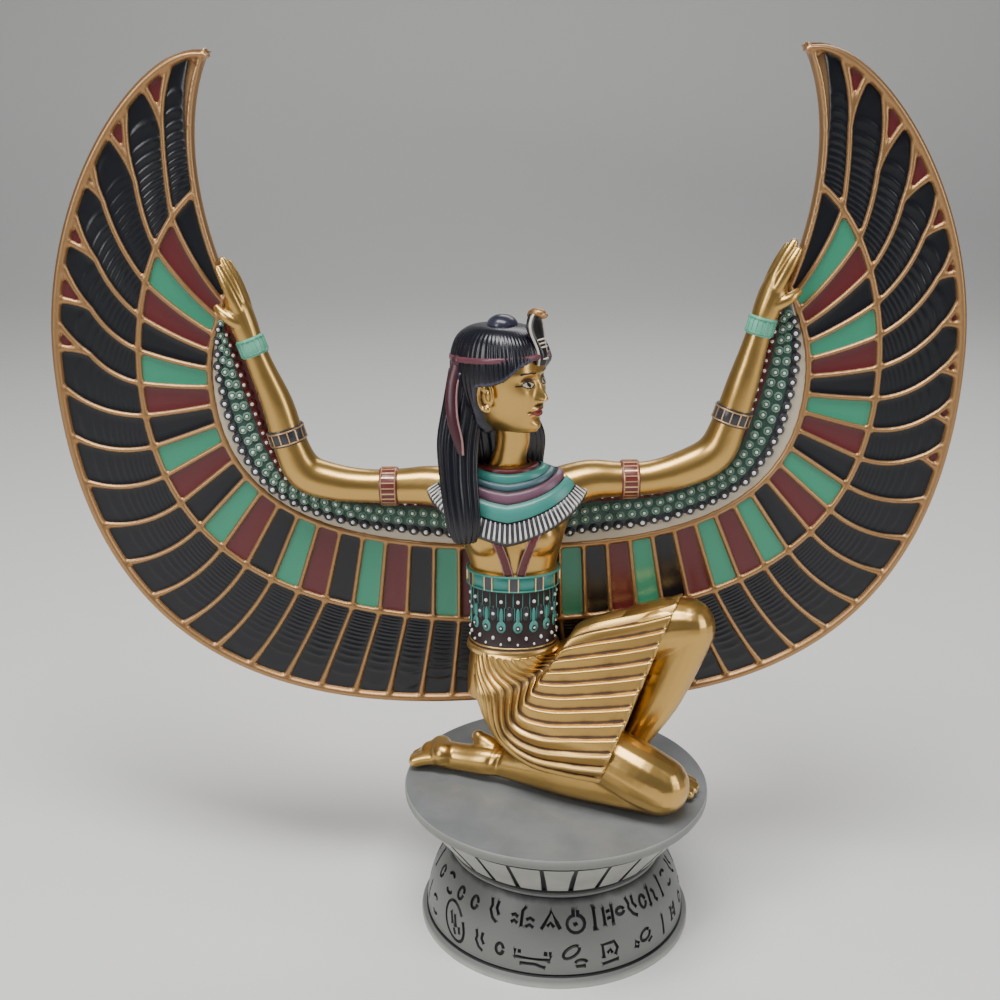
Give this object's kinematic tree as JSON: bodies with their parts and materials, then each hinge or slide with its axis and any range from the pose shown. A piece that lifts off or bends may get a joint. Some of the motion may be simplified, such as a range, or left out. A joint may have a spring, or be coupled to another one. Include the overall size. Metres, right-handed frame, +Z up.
{
  "type": "winged goddess statuette",
  "caption": "Kneeling winged goddess with raised curved wings and outstretched arms, painted resin on a round carved plinth; stands on a shelf.",
  "frame": {"origin": "centre of the plinth's flat underside", "axes": "+X to the goddess's left, across the wings; +Y towards her back; +Z up"},
  "size_m": [0.318, 0.111, 0.3133],
  "materials": {
    "plinth_stone": "satin grey stone-effect paint with black wash",
    "antique_gold": "antique gold paint with brown wash on cast resin"
  },
  "bodies": {
    "root": {"plinth": "plinth_stone", "winged_goddess": "antique_gold"}
  },
  "joints": []
}
